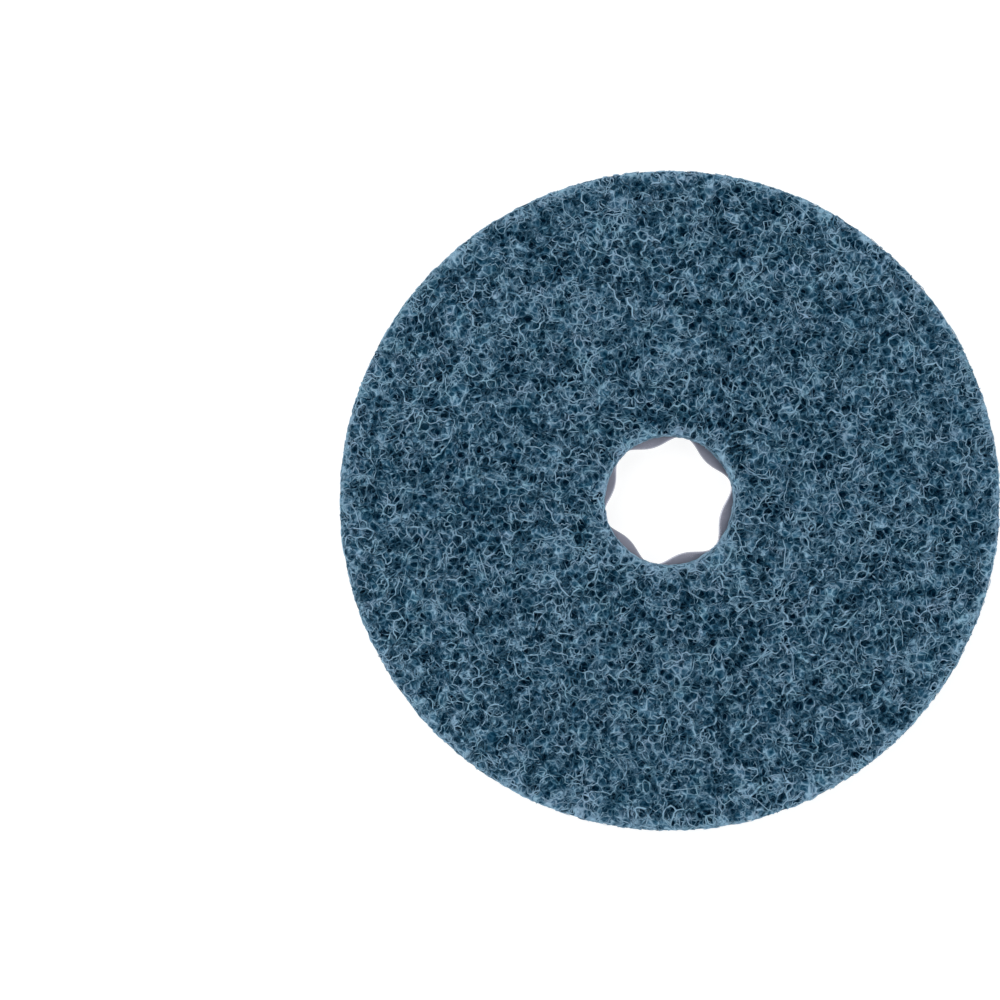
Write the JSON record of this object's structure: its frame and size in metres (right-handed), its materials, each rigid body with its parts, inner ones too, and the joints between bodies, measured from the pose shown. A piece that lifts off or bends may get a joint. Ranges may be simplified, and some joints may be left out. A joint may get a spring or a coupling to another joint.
{
  "type": "surface conditioning disc",
  "caption": "Flat round disc of open blue fibre web on a backing fabric, with a pressed steel ring whose lobed opening clicks on an angle grinder.",
  "frame": {"origin": "on the disc's axis, at the underside of the ring's lip, which the disc rests on", "axes": "+Z out of the working side; +X and +Y across the disc"},
  "size_m": [0.125, 0.125, 0.0093],
  "materials": {
    "fleece": "open matt navy-blue fibre web with lighter fibre tips",
    "backing": "matt, dense, paler blue needled fabric",
    "ring": "satin pressed sheet steel"
  },
  "bodies": {
    "root": {"abrasive_fleece": "fleece", "backing_fabric": "backing", "mounting_ring": "ring"}
  },
  "joints": []
}
